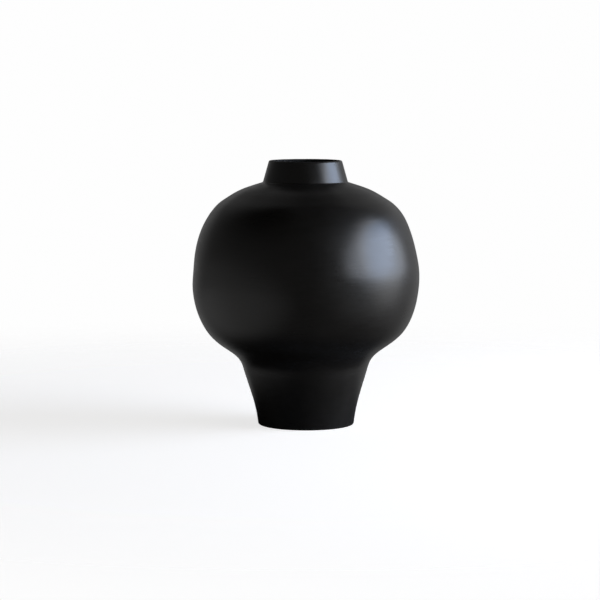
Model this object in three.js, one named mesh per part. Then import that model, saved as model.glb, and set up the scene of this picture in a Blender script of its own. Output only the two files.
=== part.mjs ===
// A black clay jar (barro negro): a tapered foot, a full round belly and a short tapered collar round
// an open mouth. A potter makes it in five sections, a floor slab, a foot, two halves of a belly and a
// collar, and lutes them together with slip. A soft coil of clay is pressed over each joint from inside.
// Millimetres and degrees, +Z up. The origin is the middle of the circle that the jar stands on.

import * as THREE from "three";

const HEIGHT = 350;
const SLIP = 0.3; // the layer of slip between two sections, and under a coil
const FACETS = 48; // round the axis
const STEP = 6.5; // between two rows of facets, on the outside; the inside has half as many rows

// The outer wall, from the heel up to the collar. lean is the wall's angle from upright, outwards going
// up. below and above are how far the wall holds that lean: the handles of the curves that meet there.
const HEEL = { r: 63.5, z: 2, lean: 7, above: 29 };
const WAIST = { r: 83, z: 77.5, lean: 16, below: 31, above: 20 };
const TURN = { r: 124, z: 117.5, lean: 45, below: 24, above: 28.5 };
const EQUATOR = { r: 149.5, z: 190, lean: 0, below: 18, above: 24 };
const SHOULDER = { r: 108.5, z: 298, lean: -57.5, below: 41.5, above: 23.5 };
const NECK = { r: 56, z: 321.5, lean: -73, below: 32.5 };

// The heights, on the outside, of the joints between sections.
const FLOOR_JOINT = 9;
const WAIST_JOINT = 84;
const BELLY_JOINT = EQUATOR.z;

// The wall thins steadily from the foot to the neck, and again up the collar.
const WALL_AT_FOOT = 8.5;
const WALL_AT_NECK = 6;
const OPENING_R = NECK.r - WALL_AT_NECK; // the hole in the belly, under the collar
const LIP_WALL = 4.5; // ends in a half round
const LIP_R = 48.5;

// The underside is trimmed hollow inside a flat ring that the jar stands on.
const RING_INNER_R = 50;
const RING_DEPTH = 2.5;

const COIL_HALF_WIDTH = 13; // along the wall, on each side of the joint
const COIL_RISE = 3;
const FILLET = 10; // of the coil in the corner between the floor and the foot

const BURNISHED = new THREE.MeshStandardMaterial({ color: 0x141414, roughness: 0.4, metalness: 0 });
const UNBURNISHED = new THREE.MeshStandardMaterial({ color: 0x1f1e1d, roughness: 0.8, metalness: 0 });

const { degToRad, lerp } = THREE.MathUtils;
const point = (r, z) => new THREE.Vector2(r, z);

// The point `distance` along the wall from a station, on its tangent.
function handle(station, distance) {
  const lean = degToRad(station.lean);
  return point(station.r + distance * Math.sin(lean), station.z + distance * Math.cos(lean));
}

const outline = new THREE.CurvePath();
const stations = [HEEL, WAIST, TURN, EQUATOR, SHOULDER, NECK];
for (let i = 1; i < stations.length; i++) {
  const from = stations[i - 1];
  const to = stations[i];
  outline.add(
    new THREE.CubicBezierCurve(handle(from, 0), handle(from, from.above), handle(to, -to.below), handle(to, 0)),
  );
}
const underCollar = (NECK.r - OPENING_R) / -Math.sin(degToRad(NECK.lean));
outline.add(new THREE.LineCurve(handle(NECK, 0), handle(NECK, underCollar)));
const WALL_LENGTH = outline.getLength();

// How far along the outline it reaches a height. It only ever rises, so halving finds it.
function lengthAt(height) {
  let low = 0;
  let high = WALL_LENGTH;
  for (let i = 0; i < 40; i++) {
    const middle = (low + high) / 2;
    if (outline.getPoint(middle / WALL_LENGTH).y < height) low = middle;
    else high = middle;
  }
  return low;
}

// The point at a length along the outline and a depth in from the outside, square to the wall.
function inWall(length, depth) {
  const along = outline.getTangent(length / WALL_LENGTH);
  const at = outline.getPoint(length / WALL_LENGTH);
  return point(at.x - along.y * depth, at.y + along.x * depth);
}

const wallAt = (length) => lerp(WALL_AT_FOOT, WALL_AT_NECK, length / WALL_LENGTH);
const innerPoint = (length, off = 0) => inWall(length, wallAt(length) + off);

// make() at even steps from one value to another, both ends included.
function row(from, to, steps, make) {
  return Array.from({ length: steps + 1 }, (_, i) => make(lerp(from, to, i / steps)));
}

// A ring turned about Z from its section, a list of (r, z) points. The section is closed here.
function turned(name, section, material) {
  const geometry = new THREE.LatheGeometry([...section, section[0]], FACETS);
  const mesh = new THREE.Mesh(geometry, material);
  mesh.name = name;
  mesh.rotation.x = Math.PI / 2; // the lathe turns about Y
  return mesh;
}

const floorJoint = lengthAt(FLOOR_JOINT);
const waistJoint = lengthAt(WAIST_JOINT);
const bellyJoint = lengthAt(BELLY_JOINT);

// The clay slab that closes the foot, with a bevelled edge that the foot's wall stands on.
function floorSlab() {
  const edge = floorJoint - SLIP / 2;
  const top = innerPoint(edge);
  const heel = new THREE.Path();
  heel.absarc(HEEL.r - HEEL.z, HEEL.z, HEEL.z, -Math.PI / 2, degToRad(-HEEL.lean));
  const section = [
    point(0, RING_DEPTH),
    point(RING_INNER_R - RING_DEPTH, RING_DEPTH),
    point(RING_INNER_R, 0),
    ...heel.getPoints(2),
    inWall(edge, 0),
    top,
    point(0, top.y),
  ];
  return turned("floor_slab", section, UNBURNISHED);
}

// A stretch of the wall between two joints, with its ends cut square to the wall.
function wallSection(name, from, to) {
  const start = from + SLIP / 2;
  const end = to - SLIP / 2;
  const rows = Math.ceil((end - start) / STEP);
  const outside = row(start, end, rows, (length) => inWall(length, 0));
  const inside = row(end, start, Math.ceil(rows / 2), (length) => innerPoint(length));
  return turned(name, [...outside, ...inside], BURNISHED);
}

// The upper half of the belly ends in an upright edge round the opening, under the collar.
function upperBelly() {
  const start = bellyJoint + SLIP / 2;
  const neck = WALL_LENGTH - underCollar;
  const rows = Math.ceil((neck - start) / STEP);
  const outside = row(start, neck, rows, (length) => inWall(length, 0));
  const rim = handle(NECK, underCollar);
  const insideEnd = lengthAt(NECK.z - 1);
  const inside = row(insideEnd, start, Math.ceil(rows / 2), (length) => innerPoint(length));
  const edge = point(OPENING_R, rim.y - WALL_AT_NECK);
  return turned("upper_belly", [...outside, rim, edge, ...inside], BURNISHED);
}

const collarLean = Math.atan2(NECK.r - LIP_R, HEIGHT - NECK.z);
const lipRound = LIP_WALL / 2;
const lipCentre = point(LIP_R - lipRound, HEIGHT - lipRound);
const collarFoot = handle(NECK, underCollar).add(point(0, SLIP)); // of its inside

// The collar's inner wall runs from its foot to the half round of the lip, at this lean.
const boreLean = Math.atan2(collarFoot.x - (lipCentre.x - lipRound), lipCentre.y - collarFoot.y);

function neckCollar() {
  const onLip = (angle) =>
    point(lipCentre.x + lipRound * Math.cos(angle), lipCentre.y + lipRound * Math.sin(angle));
  const outerHalf = row(collarLean, Math.PI / 2, 3, onLip);
  const innerHalf = row(Math.PI / 2, Math.PI + boreLean, 3, onLip).slice(1);
  const outerFoot = point(NECK.r, NECK.z + SLIP);
  return turned("neck_collar", [outerFoot, ...outerHalf, ...innerHalf, collarFoot], BURNISHED);
}

// A coil pressed over a joint inside the wall: thickest on the joint, and feathered out at its edges.
function jointCoil(name, joint) {
  const rise = (length) => {
    const share = (length - joint) / COIL_HALF_WIDTH;
    return SLIP + COIL_RISE * Math.cos((share * Math.PI) / 2) ** 2;
  };
  const low = joint - COIL_HALF_WIDTH;
  const high = joint + COIL_HALF_WIDTH;
  const onWall = row(low, high, 4, (length) => innerPoint(length, SLIP));
  const hump = row(high, low, 6, (length) => innerPoint(length, rise(length))).slice(1, -1);
  return turned(name, [...onWall, ...hump], UNBURNISHED);
}

// A coil smoothed into a hollow fillet in the corner where the foot's wall meets the floor.
function floorCoil() {
  const corner = innerPoint(floorJoint, SLIP).add(point(0, SLIP));
  const onWall = innerPoint(floorJoint + FILLET, SLIP);
  const onFloor = point(corner.x - FILLET, corner.y);
  const middle = point(corner.x - FILLET / 4, corner.y + FILLET / 4);
  const hollow = new THREE.QuadraticBezierCurve(onWall, middle, onFloor).getPoints(5);
  return turned("floor_joint_coil", [corner, ...hollow], UNBURNISHED);
}

// A coil round the inside of the neck, over the belly's upright edge and the foot of the collar.
function collarCoil() {
  const low = point(OPENING_R - SLIP, collarFoot.y - SLIP - WALL_AT_NECK);
  const joint = point(OPENING_R - SLIP, collarFoot.y);
  const upright = COIL_HALF_WIDTH * Math.cos(boreLean);
  const high = point(joint.x - COIL_HALF_WIDTH * Math.sin(boreLean), joint.y + upright);
  const middle = point(joint.x - 2 * COIL_RISE, joint.y);
  const hump = new THREE.QuadraticBezierCurve(high, middle, low).getPoints(6).slice(0, -1);
  return turned("collar_joint_coil", [low, joint, ...hump], UNBURNISHED);
}

const jar = new THREE.Group();
jar.add(
  floorSlab(),
  wallSection("foot_wall", floorJoint, waistJoint),
  wallSection("lower_belly", waistJoint, bellyJoint),
  upperBelly(),
  neckCollar(),
  floorCoil(),
  jointCoil("waist_joint_coil", waistJoint),
  jointCoil("belly_joint_coil", bellyJoint),
  collarCoil(),
);

export default jar;
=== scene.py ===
"""A black clay jar (barro negro), burnished outside and left matt inside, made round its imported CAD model.

Metres, +Z up, in the CAD's own frame. The outline of each section of the wall and of each coil inside it
is read from its CAD node, and turned again as a closed piece fine enough to reflect smoothly, with the
drift, the ridges and the finger marks of a jar made by hand.
"""

import math

import bmesh
import bpy
import numpy as np
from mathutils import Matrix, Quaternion, Vector


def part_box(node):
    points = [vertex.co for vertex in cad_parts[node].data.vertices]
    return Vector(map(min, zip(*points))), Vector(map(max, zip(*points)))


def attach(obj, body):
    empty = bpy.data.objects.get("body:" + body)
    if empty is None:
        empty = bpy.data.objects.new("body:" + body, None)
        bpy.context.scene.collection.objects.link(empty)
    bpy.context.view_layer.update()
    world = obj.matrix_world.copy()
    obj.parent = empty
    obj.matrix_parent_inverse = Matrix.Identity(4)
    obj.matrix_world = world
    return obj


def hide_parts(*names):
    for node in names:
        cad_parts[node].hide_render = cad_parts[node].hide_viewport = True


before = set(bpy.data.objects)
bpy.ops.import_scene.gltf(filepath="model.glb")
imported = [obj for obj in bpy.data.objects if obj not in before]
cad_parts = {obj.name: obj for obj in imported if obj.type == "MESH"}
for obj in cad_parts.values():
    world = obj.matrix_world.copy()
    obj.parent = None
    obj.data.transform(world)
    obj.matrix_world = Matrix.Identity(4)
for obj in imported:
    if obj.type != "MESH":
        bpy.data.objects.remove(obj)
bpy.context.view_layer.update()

MM = 0.001
BELLY_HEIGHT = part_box("upper_belly")[0].z  # of the widest circle
LIP_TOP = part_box("neck_collar")[1].z

# How finely the pieces are turned. A step is from one row of vertices to the next.
COLUMNS = 240  # of vertices round the jar
ANGLES = np.arange(COLUMNS) * math.tau / COLUMNS
OUTSIDE_STEP = 2 * MM
INSIDE_STEP = 2.2 * MM
UNDERSIDE_STEP = 0.75 * MM
COLLAR_STEP = 0.6 * MM
COIL_STEP = 0.8 * MM
AXIS_GAP = 1.5 * MM  # radius of the small disc in the middle of the floor

# How an outline is read. A spacing is the most between the points of a straight stretch.
CORNER = math.radians(38)  # a section turns by more than this where two of its faces meet
SAME_PLACE = 1e-6
UNDERSIDE_SPACING = 1 * MM
FLOOR_SPACING = 2 * MM
COLLAR_SPACING = 1.2 * MM

# Where the middle of the hand-made wall has drifted: (to the right, to the back, at this height, and as far
# as about this above and below it).
DRIFTS = [
    (0.75 * MM, 0.3 * MM, 5 * MM, 40 * MM),
    (-1.5 * MM, 0.5 * MM, 104 * MM, 16 * MM),
    (1.1 * MM, -0.5 * MM, 206 * MM, 20 * MM),
    (0.75 * MM, 0.3 * MM, 280 * MM, 16 * MM),
]
OUT_OF_ROUND = 0.35 * MM  # where the radius is OVAL_RADIUS
OVAL_RADIUS = 100 * MM
OVAL_TURN = 0.7  # radians that the oval is turned by

# How deep the marks of the hand are, and how far apart.
STONE_FACETS = 0.07 * MM
FACETS_START = 1 * MM  # the height where the facets start
FACETS_WHOLE = 12 * MM  # and the height where they are whole
TRIMMING_RINGS = 0.09 * MM
RING_PITCH = 3.6 * MM
RINGS_WHOLE = 42 * MM  # the rings are whole out to this radius
RINGS_GONE = 46 * MM  # and gone at this one
FINGER_GROOVE = 0.33 * MM
FINGER_SWELL = 0.14 * MM
GROOVE_PITCH = 8.5 * MM
COIL_DENTS = 0.45 * MM
COIL_SWELL = 0.2 * MM
COIL_SMEAR = 0.9 * MM  # how far a coil's edges are pressed into the wall
SMEAR_WIDTH = 3 * MM

COVE = 1.4 * MM  # how far the slip in the crease under the collar reaches up and out
COVE_POINTS = 6
HEEL_BURNISH = 0.5 * MM  # how far above the ground the burnishing starts
LIP_BURNISH = 1.5 * MM  # how far over the lip and into the mouth it goes
LIP_WEAR = 1.6 * MM  # how far down from the top of the lip hands have dulled it
FOOT_WEAR = 4 * MM  # how far up the heel shelves have dulled it


# ---- Outlines, read from the CAD nodes ----


def section(node):
    """A turned CAD node's section: its (radius, height) points in order, with the clay on their left."""
    mesh = bmesh.new()
    mesh.from_mesh(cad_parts[node].data)
    bmesh.ops.remove_doubles(mesh, verts=mesh.verts, dist=SAME_PLACE)
    cut = [v for v in mesh.verts if abs(v.co.y) < SAME_PLACE and v.co.x > -SAME_PLACE]
    on_axis = [v for v in cut if v.co.x < SAME_PLACE]
    walk = [min(on_axis or cut, key=lambda v: v.co.z)]
    while True:
        beside = [edge.other_vert(walk[-1]) for edge in walk[-1].link_edges]
        onward = [v for v in beside if v in cut and v not in walk]
        if not onward:
            break
        walk.append(onward[0])
    points = np.array([(v.co.x, v.co.z) for v in walk])
    mesh.free()
    following = np.roll(points, -1, axis=0)
    area = (points[:, 0] * following[:, 1] - following[:, 0] * points[:, 1]).sum()
    return points if area > 0 else points[::-1]


def faces_of(points):
    """A closed section's runs of points between its sharp corners, in order."""
    edges = np.roll(points, -1, axis=0) - points
    heading = np.arctan2(edges[:, 1], edges[:, 0])
    turn = (heading - np.roll(heading, 1) + math.pi) % math.tau - math.pi
    corners = np.flatnonzero(abs(turn) > CORNER)
    runs = []
    for first, last in zip(corners, np.roll(corners, -1)):
        count = (last - first) % len(points)
        runs.append(points[np.arange(first, first + count + 1) % len(points)])
    return runs


def lengths_along(points):
    """How far along a line each of its points is."""
    return np.concatenate([[0], np.cumsum(np.hypot(*np.diff(points, axis=0).T))])


def divided(points, spacing):
    """The same line with its long straight stretches divided into short ones."""
    made = [points[0]]
    for start, end in zip(points, points[1:]):
        count = max(1, math.ceil(np.hypot(*(end - start)) / spacing))
        made.extend(start + (end - start) * i / count for i in range(1, count + 1))
    return np.array(made)


def worn(points, rounds=2):
    """The same line with its corners cut off, and the corners that this leaves cut off again."""
    for _ in range(rounds):
        before, after = points[:-1], points[1:]
        cuts = np.stack([0.75 * before + 0.25 * after, 0.25 * before + 0.75 * after], axis=1)
        points = np.concatenate([points[:1], cuts.reshape(-1, 2), points[-1:]])
    return points


class Line:
    """A natural cubic spline through points, which gives the place at any length along it."""

    def __init__(self, points):
        self.points = points
        self.at = lengths_along(points)
        self.total = self.at[-1]
        gap = np.diff(self.at)
        slope = np.diff(points, axis=0) / gap[:, None]
        system = np.eye(len(points))
        known = np.zeros((len(points), 2))
        for i in range(1, len(points) - 1):
            system[i, i - 1 : i + 2] = gap[i - 1], 2 * (gap[i - 1] + gap[i]), gap[i]
            known[i] = 6 * (slope[i] - slope[i - 1])
        self.bend = np.linalg.solve(system, known)  # the second derivative at each point

    def __call__(self, length):
        i = np.clip(np.searchsorted(self.at, length, side="right") - 1, 0, len(self.at) - 2)
        gap = (self.at[i + 1] - self.at[i])[..., None]
        after = (length - self.at[i])[..., None] / gap
        before = 1 - after
        curve = (before**3 - before) * self.bend[i] + (after**3 - after) * self.bend[i + 1]
        return before * self.points[i] + after * self.points[i + 1] + curve * gap**2 / 6


def joined(runs):
    """One line through the runs of neighbouring sections, and its lengths at the joints between them."""
    points = np.concatenate(runs)
    at = lengths_along(points)
    firsts = np.cumsum([len(run) for run in runs])[:-1]
    return Line(points), [(at[i - 1] + at[i]) / 2 for i in firsts]


# ---- The marks of the hand: how far each stands out of the clay ----


def waves(count, seed, around, along):
    """A smooth pattern from about -1 to 1 over (angle, height). It joins up round the jar. around is its
    most waves in a turn, and along its most in a metre of height."""
    random = np.random.default_rng(seed)
    turns = random.integers(-around, around + 1, count)
    rises = random.uniform(-along, along, count) * math.tau
    phases = random.uniform(0, math.tau, count)

    def pattern(angle, height):
        total = 0
        for turn, rise, phase in zip(turns, rises, phases):
            total = total + np.sin(turn * angle + rise * height + phase)
        return total * 0.7 / math.sqrt(count)  # a sum of sines grows as the square root of their number

    return pattern


def eased(value, start, end):
    """0 before start, 1 after end, and a smooth rise between them. start can be the larger of the two."""
    share = np.clip((value - start) / (end - start), 0, 1)
    return share * share * (3 - 2 * share)


stone_facets = waves(count=16, seed=3, around=24, along=20)
finger_waver = waves(count=5, seed=8, around=3, along=6)


def stone_marks(angle, height, length):
    """Broad soft facets from the burnishing stone, which fade out at the heel."""
    return STONE_FACETS * stone_facets(angle, height) * eased(height, FACETS_START, FACETS_WHOLE)


def underside_marks(angle, height, length):
    """A fine spiral from the trimming tool in the hollow under the floor, and stone facets beyond it."""
    spiral = np.cos(length / RING_PITCH * math.tau + angle)
    trimmed = TRIMMING_RINGS * spiral * eased(length, RINGS_GONE, RINGS_WHOLE)
    return trimmed + stone_marks(angle, height, length)


def inside_marks(angle, height, length):
    """One long shallow groove, drawn round and up by a finger."""
    waver = finger_waver(angle, height)
    turns = length / GROOVE_PITCH + angle / math.tau + 0.2 * waver
    return FINGER_GROOVE * np.cos(turns * math.tau) + FINGER_SWELL * waver


def pressed(presses, total, seed):
    """A coil's face: dented by a row of fingertips, with both edges smeared down into the wall."""
    waver = waves(count=6, seed=seed, around=9, along=25)

    def marks(angle, height, length):
        dents = np.cos(presses * angle + 1.5 * waver(angle, height)) - 1
        across = np.sin(length / total * math.pi)
        edge = np.minimum(length, total - length)
        smear = eased(edge, SMEAR_WIDTH, 0)
        return COIL_DENTS * dents * across + COIL_SWELL * waver(angle, height) - COIL_SMEAR * smear

    return marks


# ---- Pieces turned from lines ----


def on_jar(line, lengths, angles, marks):
    """The place of each length along a line and each angle round the jar, with its marks, if it has any."""
    outline = line(lengths)
    nudge = 0.01 * MM  # each way along the line, to see how it slopes
    ahead = line(lengths + nudge) - line(lengths - nudge)
    ahead /= np.linalg.norm(ahead, axis=-1, keepdims=True)
    radius, height = outline[..., 0], outline[..., 1]
    if marks:
        out = marks(angles, height, lengths)
        radius = radius + ahead[..., 1] * out
        height = height - ahead[..., 0] * out
    radius = radius + OUT_OF_ROUND * np.cos(2 * angles + OVAL_TURN) * radius / OVAL_RADIUS
    x, y = radius * np.cos(angles), radius * np.sin(angles)
    for to_right, to_back, centre, within in DRIFTS:
        share = np.exp(-(((height - centre) / within) ** 2))
        x = x + to_right * share
        y = y + to_back * share
    return np.stack([x, y, height + 0 * angles], axis=-1)


def turned(line, start, end, step, marks):
    """Rows of points round the jar from start to end along a line, and the way that each of them faces."""
    rows = max(2, math.ceil((end - start) / step) + 1)
    lengths = np.linspace(start, end, rows)[:, None]
    ahead, turn = 0.02 * MM, 0.0005  # short steps each way, to see how the surface slopes
    onward = on_jar(line, lengths + ahead, ANGLES, marks) - on_jar(line, lengths - ahead, ANGLES, marks)
    around = on_jar(line, lengths, ANGLES + turn, marks) - on_jar(line, lengths, ANGLES - turn, marks)
    normals = np.cross(around, onward)
    return on_jar(line, lengths, ANGLES, marks), normals / np.linalg.norm(normals, axis=-1, keepdims=True)


def build(node, strips, capped=False):
    """A closed piece that stands for a CAD node. It is made of strips in order round its section, each
    (points, normals, finish), with a flat face from each strip to the next. Where the piece is capped, its
    first and last rows are each closed by a disc on the axis."""
    points = np.concatenate([strip[0] for strip in strips])
    normals = np.concatenate([strip[1] for strip in strips]).reshape(-1, 3)
    finishes = np.concatenate([np.broadcast_to(strip[2], len(strip[0])) for strip in strips])
    ends = np.cumsum([len(strip[0]) for strip in strips]) - 1
    rows = len(points)
    corner = np.arange(COLUMNS)
    beside = (corner + 1) % COLUMNS
    faces, shades, smooth, materials = [], [], [], []
    for row in range(rows - 1 if capped else rows):
        here, after = row * COLUMNS, (row + 1) % rows * COLUMNS
        quads = np.stack([here + corner, here + beside, after + beside, after + corner], axis=1)
        curved = row not in ends
        faces.extend(quads.tolist())
        shades.append(normals[quads.ravel()] * curved)
        smooth.extend([curved] * COLUMNS)
        materials.extend([finishes[row]] * COLUMNS)
    if capped:
        first, last = corner[::-1], (rows - 1) * COLUMNS + corner
        for disc, finish in ((first, finishes[0]), (last, finishes[-1])):
            faces.append(disc.tolist())
            shades.append(np.zeros((COLUMNS, 3)))
            smooth.append(False)
            materials.append(finish)
    mesh = bpy.data.meshes.new(node)
    mesh.from_pydata(points.reshape(-1, 3).tolist(), [], faces)
    for material in FINISHES:
        mesh.materials.append(material)
    mesh.polygons.foreach_set("use_smooth", smooth)
    mesh.polygons.foreach_set("material_index", np.array(materials, dtype=np.int32))
    mesh.normals_split_custom_set(np.concatenate(shades).tolist())
    piece = bpy.data.objects.new(node + "_clay", mesh)
    bpy.context.scene.collection.objects.link(piece)
    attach(piece, "root")
    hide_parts(node)


# ---- Materials ----


class Graph:
    """A node tree, with short ways to add the nodes used here. Values are numbers or sockets."""

    def __init__(self, tree):
        self.tree = tree

    def connect(self, socket, value):
        if isinstance(value, bpy.types.NodeSocket):
            self.tree.links.new(value, socket)
        else:
            socket.default_value = value

    def node(self, kind, inputs, **settings):
        made = self.tree.nodes.new(kind)
        for name, value in settings.items():
            setattr(made, name, value)
        for name, value in inputs.items():
            self.connect(made.inputs[name], value)
        return made

    def math(self, operation, *values):
        made = self.tree.nodes.new("ShaderNodeMath")
        made.operation = operation
        for socket, value in zip(made.inputs, values):
            self.connect(socket, value)
        return made.outputs[0]

    def total(self, base, *parts):
        """base plus each (amount, value from about 0 to 1), which is taken from its middle."""
        for amount, value in parts:
            base = self.math("MULTIPLY_ADD", self.math("SUBTRACT", value, 0.5), amount, base)
        return base

    def ramp(self, value, start, end):
        """A smooth change from 0 at start to 1 at end. start can be the larger of the two."""
        if start > end:
            return self.math("SUBTRACT", 1.0, self.ramp(value, end, start))
        ends = {"Value": value, "From Min": start, "From Max": end}
        return self.node("ShaderNodeMapRange", ends, interpolation_type="SMOOTHSTEP").outputs["Result"]

    def place(self, scale=(1, 1, 1), centre=(0, 0, 0)):
        """The place on the object, from a centre. A pattern is finer along an axis with a larger scale."""
        place = self.tree.nodes.new("ShaderNodeTexCoord").outputs["Object"]
        back = [-c * s for c, s in zip(centre, scale)]
        mapping = {"Vector": place, "Location": back, "Scale": scale}
        return self.node("ShaderNodeMapping", mapping).outputs["Vector"]

    def parts_of(self, vector):
        """The X, Y and Z of a vector."""
        return self.node("ShaderNodeSeparateXYZ", {0: vector}).outputs

    def length_of(self, vector):
        return self.node("ShaderNodeVectorMath", {0: vector}, operation="LENGTH").outputs["Value"]

    def noise(self, place, cells, detail, rough=0.5):
        """Noise from about 0 to 1, with about this many cells in a metre."""
        inputs = {"Vector": place, "Scale": cells, "Detail": detail, "Roughness": rough}
        return self.node("ShaderNodeTexNoise", inputs).outputs["Fac"]

    def specks(self, place, cells, size):
        """1 in the middle of each cell, of about this many in a metre, and 0 outside this share of it."""
        scattered = self.node("ShaderNodeTexVoronoi", {"Vector": place, "Scale": cells})
        return self.ramp(scattered.outputs["Distance"], size, 0.0)

    def colour(self, share, first, second):
        """The first colour where share is 0, and the second where it is 1."""
        made = self.tree.nodes.new("ShaderNodeMix")
        made.data_type = "RGBA"
        for socket, value in zip((made.inputs[0], made.inputs[6], made.inputs[7]), (share, first, second)):
            self.connect(socket, value)
        return made.outputs[2]

    def shaders(self, share, first, second):
        """The first shader where share is 0, and the second where it is 1."""
        made = self.tree.nodes.new("ShaderNodeMixShader")
        for socket, value in zip(made.inputs, (share, first, second)):
            self.connect(socket, value)
        return made.outputs[0]

    def bump(self, *layers):
        """The normal of layers of relief, each (depth in metres, height from 0 to 1)."""
        normal = None
        for depth, height in layers:
            made = self.node("ShaderNodeBump", {"Distance": depth, "Height": height})
            if normal:
                self.connect(made.inputs["Normal"], normal)
            normal = made.outputs["Normal"]
        return normal


def new_material(name):
    """A new material, its graph and its shader."""
    material = bpy.data.materials.new(name)
    material.use_nodes = True
    return material, Graph(material.node_tree), material.node_tree.nodes["Principled BSDF"]


SMOKED = (0.0085, 0.0072, 0.006, 1)  # the burnished clay goes from this black
ASHEN = (0.0125, 0.0108, 0.009, 1)  # to this one, in clouds and along the strokes
DULLED = (0.019, 0.0175, 0.016, 1)  # where it is worn
DEEP = (0.006, 0.0056, 0.0052, 1)  # the unburnished clay goes from this black
DUSTY = (0.015, 0.014, 0.013, 1)  # to this one, with its grit
BURNISHED_ROUGHNESS = 0.31
UNBURNISHED_ROUGHNESS = 0.72
UNBURNISHED_SPECULAR = 0.2
PORE_ROUGHNESS = 0.12  # how much rougher the clay is in a pore
WEAR_ROUGHNESS = 0.18  # and where it is worn


def burnished_clay():
    """Clay rubbed with a quartz pebble before firing, and blackened by the smoke of the closed kiln."""
    material, graph, shader = new_material("burnished_clay")
    strokes = graph.ramp(graph.noise(graph.place((1, 1, 8)), cells=42, detail=2), 0.2, 0.8)
    clouds = graph.ramp(graph.noise(graph.place(), cells=16, detail=4), 0.3, 0.7)
    grain = graph.noise(graph.place(), cells=2600, detail=2)
    pore = graph.specks(graph.place(), cells=420, size=0.11)
    height = graph.parts_of(graph.place())["Z"]
    lip = graph.ramp(height, LIP_TOP - LIP_WEAR, LIP_TOP)
    foot = graph.ramp(height, FOOT_WEAR, 0.0)
    patches = graph.ramp(graph.noise(graph.place(), cells=160, detail=4, rough=0.6), 0.3, 0.6)
    wear = graph.math("MULTIPLY", graph.math("MAXIMUM", lip, foot), patches)
    black = graph.colour(graph.total(0.5, (0.6, clouds), (0.4, strokes)), SMOKED, ASHEN)
    graph.connect(shader.inputs["Base Color"], graph.colour(wear, black, DULLED))
    gloss = graph.total(BURNISHED_ROUGHNESS, (0.05, strokes), (0.04, clouds), (0.04, grain))
    gloss = graph.math("MULTIPLY_ADD", pore, PORE_ROUGHNESS, gloss)
    gloss = graph.math("MULTIPLY_ADD", wear, WEAR_ROUGHNESS, gloss)
    graph.connect(shader.inputs["Roughness"], gloss)
    relief = graph.bump((0.03 * MM, strokes), (0.004 * MM, grain), (-0.03 * MM, pore))
    graph.connect(shader.inputs["Normal"], relief)
    return material


def unburnished_clay():
    """The same clay wiped with wet fingers inside, or trimmed with a blade underneath, and left matt."""
    material, graph, shader = new_material("unburnished_clay")
    wipes = graph.noise(graph.place((1, 1, 14)), cells=45, detail=5, rough=0.65)
    clouds = graph.noise(graph.place(), cells=25, detail=4)
    grit = graph.noise(graph.place(), cells=1500, detail=3, rough=0.7)
    tone = graph.ramp(graph.total(0.5, (0.5, clouds), (0.5, grit)), 0.35, 0.65)
    graph.connect(shader.inputs["Base Color"], graph.colour(tone, DEEP, DUSTY))
    graph.connect(shader.inputs["Specular IOR Level"], UNBURNISHED_SPECULAR)
    graph.connect(shader.inputs["Roughness"], graph.total(UNBURNISHED_ROUGHNESS, (0.25, wipes)))
    graph.connect(shader.inputs["Normal"], graph.bump((0.15 * MM, wipes), (0.05 * MM, grit)))
    return material


FINISHES = [burnished_clay(), unburnished_clay()]
BURNISHED, UNBURNISHED = 0, 1  # places in FINISHES


# ---- The nine pieces of the jar ----

WALLS = ["foot_wall", "lower_belly", "upper_belly"]

slab = section("floor_slab")
rim = int(np.argmax(slab[:, 0]))  # where the slab's side meets its top
slab_under, slab_top = slab[: rim + 1], slab[rim + 1 :]
outer_runs, inner_runs = [], []
for node in WALLS:
    two_longest = sorted(faces_of(section(node)), key=len)[-2:]
    inner, outer = sorted(two_longest, key=lambda run: run[:, 0].mean())
    outer_runs.append(outer)
    inner_runs.append(inner)

# Both lists of joints go from the foot up, and a section of the wall is between one joint and the next.
outside, outside_joints = joined([worn(divided(slab_under, UNDERSIDE_SPACING)), *outer_runs])
inside, inside_joints = joined(inner_runs[::-1])
outside_joints.append(outside.total)
inside_joints = [inside.total, *inside_joints[::-1], 0]


def floor_slab():
    """From the middle of the hollow underside, over the standing ring and up the heel, then back on top."""
    under = turned(outside, AXIS_GAP, outside_joints[0], UNDERSIDE_STEP, underside_marks)
    height = under[0][:, 0, 2]
    past_ring = np.arange(len(height)) > len(height) / 2  # the hollow is above the ground too
    finish = np.where(past_ring & (height > HEEL_BURNISH), BURNISHED, UNBURNISHED)
    top_line = Line(divided(slab_top, FLOOR_SPACING))
    top = turned(top_line, 0, top_line.total - AXIS_GAP, INSIDE_STEP, inside_marks)
    build("floor_slab", [(*under, finish), (*top, UNBURNISHED)], capped=True)


def wall(index):
    """A section of the wall, between two joints."""
    low, high = outside_joints[index : index + 2]
    outer = turned(outside, low, high, OUTSIDE_STEP, stone_marks)
    low, high = inside_joints[index : index + 2]
    inner = turned(inside, high, low, INSIDE_STEP, inside_marks)
    build(WALLS[index], [(*outer, BURNISHED), (*inner, UNBURNISHED)])


def on_shoulder(radius):
    """The place on the upper belly's outside at this radius."""
    places = outside(np.linspace(outside_joints[-2], outside.total, 500))
    return np.array([radius, np.interp(-radius, -places[:, 0], places[:, 1])])


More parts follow.
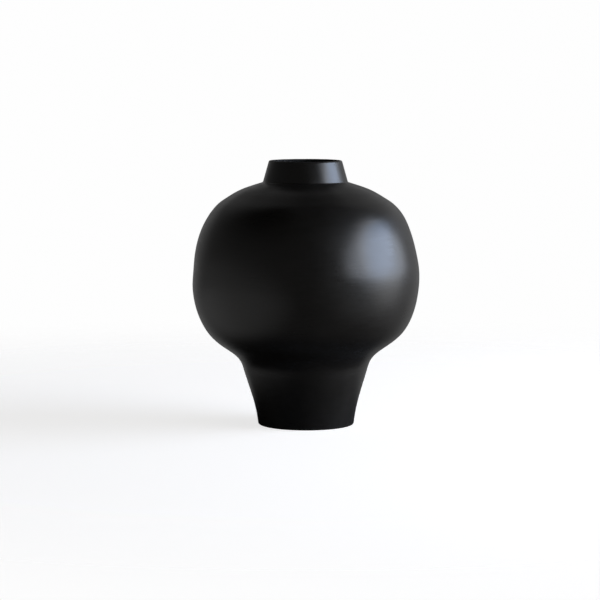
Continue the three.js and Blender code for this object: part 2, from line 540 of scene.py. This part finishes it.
def neck_collar():
    """From the slip smoothed into the crease at its foot, up the outside, over the lip and down the inside,
    which is burnished only just below the lip."""
    run = max(faces_of(section("neck_collar")), key=len)
    crease = on_shoulder(run[0, 0])
    low = on_shoulder(run[0, 0] + COVE)
    high = crease + (run[1] - run[0]) / np.linalg.norm(run[1] - run[0]) * COVE
    share = np.linspace(0, 1, COVE_POINTS)[:, None]
    cove = (1 - share) ** 2 * low + 2 * share * (1 - share) * crease + share**2 * high
    side = divided(np.stack([high, run[1]]), COLLAR_SPACING)
    lip_and_inside = divided(run[1:], COLLAR_SPACING)
    line = Line(np.concatenate([cove, side[1:], lip_and_inside[1:]]))
    rows = turned(line, 0, line.total, COLLAR_STEP, stone_marks)
    top_row = rows[0][:, 0, 2].argmax()
    burnished = np.arange(len(rows[0])) < top_row + LIP_BURNISH / COLLAR_STEP
    finish = np.where(burnished, BURNISHED, UNBURNISHED)
    build("neck_collar", [(*rows, finish)])


def coil(node, presses, seed):
    """A coil of clay that was pressed into a joint from inside. Only its face shows."""
    runs = faces_of(section(node))
    face = max(range(len(runs)), key=lambda i: len(runs[i]))
    line = Line(runs[face])
    front = turned(line, 0, line.total, COIL_STEP, pressed(presses, line.total, seed))
    others = runs[face + 1 :] + runs[:face]
    hidden = Line(np.concatenate([runs[face][-1:], *[run[1:] for run in others]]))
    back = on_jar(hidden, hidden.at[1:-1, None], ANGLES, None)
    build(node, [(*front, UNBURNISHED), (back, 0 * back, UNBURNISHED)])


floor_slab()
for index in range(len(WALLS)):
    wall(index)
neck_collar()
coil("floor_joint_coil", presses=24, seed=5)
coil("waist_joint_coil", presses=26, seed=6)
coil("belly_joint_coil", presses=38, seed=7)
coil("collar_joint_coil", presses=18, seed=9)


# ---- Floor, light and camera ----

FLOOR_RADIUS = 1.6
FLOOR_FADES = (0.4, 1.3)  # the radii where the floor that the camera sees starts to fade, and is gone
SHADE_FADES = (0.12, 0.25)  # and the same for the floor that everything else sees
PAPER = (0.54, 0.5, 0.465, 1)
PAPER_GLOW = 0.76
SHADE = (0.08, 0.08, 0.08, 1)
BACKDROP = (0.99, 0.99, 0.99, 1)

NEUTRAL = (1.0, 1.0, 1.0)
SKY = (0.74, 0.96, 1.38)  # brighter blue than red, as in the middle of a window
HAZE = (0.9, 0.98, 1.12)  # a paler sky, round that and lower down
WARM = (1.05, 1.0, 0.92)  # the window's frame and curtains

WINDOW_DISTANCE = 2.0  # from the middle of the belly
HIGH_FILL_DISTANCE = 1.5
LOW_FILL_DISTANCE = 0.4
MIDDLE_SHARE = 0.85  # of a softbox's half width has the middle's colour

CAMERA_PLACE = (-0.0072, -3.1503, 0.4873)
CAMERA_PITCH = math.radians(5.838)  # down
CAMERA_LENS = 143.4  # millimetres, on a sensor 36 mm wide


def pale_floor():
    """A pale disc that fades into the white round it. It is darker to everything but the camera, so that it
    puts little light on the jar, and away from its middle the jar reflects the studio through it."""
    bpy.ops.mesh.primitive_circle_add(vertices=96, radius=FLOOR_RADIUS, fill_type="NGON")
    disc = bpy.context.object
    disc.name = "floor"
    material, graph, shader = new_material("floor")
    graph.tree.nodes.remove(shader)
    far = graph.length_of(graph.place())
    clear = graph.node("ShaderNodeBsdfTransparent", {}).outputs[0]
    paper = graph.node("ShaderNodeBsdfDiffuse", {"Color": PAPER}).outputs[0]
    glow = graph.node("ShaderNodeEmission", {"Strength": PAPER_GLOW}).outputs[0]
    lit = graph.node("ShaderNodeAddShader", {0: paper, 1: glow}).outputs[0]
    seen = graph.shaders(graph.ramp(far, *FLOOR_FADES), lit, clear)
    dark = graph.node("ShaderNodeBsdfDiffuse", {"Color": SHADE}).outputs[0]
    unseen = graph.shaders(graph.ramp(far, *SHADE_FADES), dark, clear)
    to_camera = graph.tree.nodes.new("ShaderNodeLightPath").outputs["Is Camera Ray"]
    surface = graph.shaders(to_camera, unseen, seen)
    graph.connect(graph.tree.nodes["Material Output"].inputs["Surface"], surface)
    disc.data.materials.append(material)


def studio():
    """White behind the jar, as the camera sees it, and round the jar a dark room with dim pale walls. A
    direction's part towards one side is 1 straight at it, 0 square to it and -1 straight away from it."""
    world = bpy.data.worlds.new("studio")
    bpy.context.scene.world = world
    world.use_nodes = True
    world.node_tree.nodes.clear()
    graph = Graph(world.node_tree)
    towards = graph.tree.nodes.new("ShaderNodeTexCoord").outputs["Generated"]
    right, back, up = graph.parts_of(towards)
    left = graph.math("MULTIPLY", right, -1.0)

    def lobe(brightness, *ramps):
        """A brightness times a ramp for each (part of the direction, where it is 0, where it is 1)."""
        for ramp in ramps:
            brightness = graph.math("MULTIPLY", brightness, graph.ramp(*ramp))
        return brightness

    back_wall = lobe(0.27, (back, 0.52, 1.0), (up, 0.46, 0.31))
    left_wall = lobe(0.137, (left, -0.85, 1.0), (up, 0.94, 0.19))
    right_wall = lobe(0.4, (right, 0.115, 1.0), (up, 0.9, 0.19))
    room = 0.007
    for part in (back_wall, left_wall, right_wall):
        room = graph.math("ADD", room, part)
    room = lobe(room, (up, 0.94, 0.64), (up, -0.63, -0.43))
    ground = lobe(0.108, (up, -0.43, -0.63))
    light = graph.math("ADD", room, ground)
    around = graph.node("ShaderNodeBackground", {"Strength": light}).outputs[0]
    white = graph.node("ShaderNodeBackground", {"Color": BACKDROP}).outputs[0]
    to_camera = graph.tree.nodes.new("ShaderNodeLightPath").outputs["Is Camera Ray"]
    graph.node("ShaderNodeOutputWorld", {"Surface": graph.shaders(to_camera, around, white)})


def softbox(
    name, azimuth, elevation, distance, size, fade, brightness,
    middle=NEUTRAL, edge=NEUTRAL, middle_at=(0, 0), tilt=0, on_floor=True,
):
    """An oval of light that faces the belly. Azimuth 0 is on the camera's side of the jar, and 90 on its
    right. fade is a share of the half width: the light goes from full to none between that far inside the
    oval's edge and that far outside it. The colour goes from edge to middle on the way in to middle_at,
    which is across and up from the centre. The camera doesn't see the oval, and where it isn't on_floor,
    only gloss shows it."""
    across, above = math.radians(azimuth), math.radians(elevation)
    flat = math.cos(above)
    out = Vector((math.sin(across) * flat, -math.cos(across) * flat, math.sin(above)))
    reach = [side / 2 * (1 + fade) for side in size]
    mesh = bpy.data.meshes.new(name)
    corners = [(i * reach[0], j * reach[1], 0) for i, j in ((-1, -1), (1, -1), (1, 1), (-1, 1))]
    mesh.from_pydata(corners, [], [(0, 1, 2, 3)])
    panel = bpy.data.objects.new(name, mesh)
    bpy.context.scene.collection.objects.link(panel)
    panel.location = Vector((0, 0, BELLY_HEIGHT)) + out * distance
    facing = out.to_track_quat("Z", "Y") @ Quaternion((0, 0, 1), math.radians(tilt))
    panel.rotation_euler = facing.to_euler()
    panel.visible_camera = False
    panel.visible_shadow = False
    panel.visible_diffuse = on_floor
    material, graph, shader = new_material(name)
    graph.tree.nodes.remove(shader)
    width, height = size
    scale = (2 / width, 2 / height, 0)  # which brings the oval's edge to 1
    from_centre = graph.length_of(graph.place(scale))
    from_middle = graph.length_of(graph.place(scale, (*middle_at, 0)))
    share = graph.ramp(from_centre, 1 + fade, 1 - fade)
    inward = graph.ramp(from_middle, 1 + fade, MIDDLE_SHARE)
    colour = graph.colour(inward, (*edge, 1), (*middle, 1))
    strength = graph.math("MULTIPLY", brightness, share)
    glow = graph.node("ShaderNodeEmission", {"Color": colour, "Strength": strength}).outputs[0]
    clear = graph.node("ShaderNodeBsdfTransparent", {}).outputs[0]
    surface = graph.node("ShaderNodeAddShader", {0: glow, 1: clear}).outputs[0]
    graph.connect(graph.tree.nodes["Material Output"].inputs["Surface"], surface)
    mesh.materials.append(material)


def window():
    """One large window on the right: the sky in it, a wider band of haze and curtain, and the sill below."""
    softbox(
        "window", azimuth=82.4, elevation=22, distance=WINDOW_DISTANCE, size=(1.83, 1.34),
        fade=0.05, brightness=3.75, middle=SKY, edge=WARM, middle_at=(0.07, -0.16), tilt=27,
    )
    softbox(
        "window_band", azimuth=79.6, elevation=13.6, distance=WINDOW_DISTANCE, size=(3.26, 1.18),
        fade=0.12, brightness=3.2, middle=HAZE, edge=WARM, tilt=-5,
    )
    softbox(
        "sill", azimuth=85.6, elevation=-6.6, distance=WINDOW_DISTANCE, size=(1.35, 0.81),
        fade=0.62, brightness=1.5,
    )


def fills():
    """Weak light from the left beside the foot, and from behind on both sides above the shoulder."""
    softbox(
        "low_fill", azimuth=-68, elevation=-21.5, distance=LOW_FILL_DISTANCE, size=(0.78, 0.39),
        fade=0.66, brightness=0.28, on_floor=False,
    )
    softbox(
        "high_fill_left", azimuth=-143, elevation=51, distance=HIGH_FILL_DISTANCE, size=(1.12, 1.2),
        fade=0.5, brightness=0.128,
    )
    softbox(
        "high_fill_right", azimuth=140, elevation=38.5, distance=HIGH_FILL_DISTANCE, size=(1.32, 1.18),
        fade=0.5, brightness=0.195,
    )


def camera():
    """A long lens, a little above the jar and looking slightly down at it."""
    data = bpy.data.cameras.new("camera")
    data.sensor_width = 36
    data.lens = CAMERA_LENS
    made = bpy.data.objects.new("camera", data)
    made.location = CAMERA_PLACE
    made.rotation_euler = (math.radians(90) - CAMERA_PITCH, 0, 0)
    bpy.context.scene.collection.objects.link(made)
    bpy.context.scene.camera = made


pale_floor()
studio()
window()
fills()
camera()
bpy.context.scene.view_settings.view_transform = "Standard"
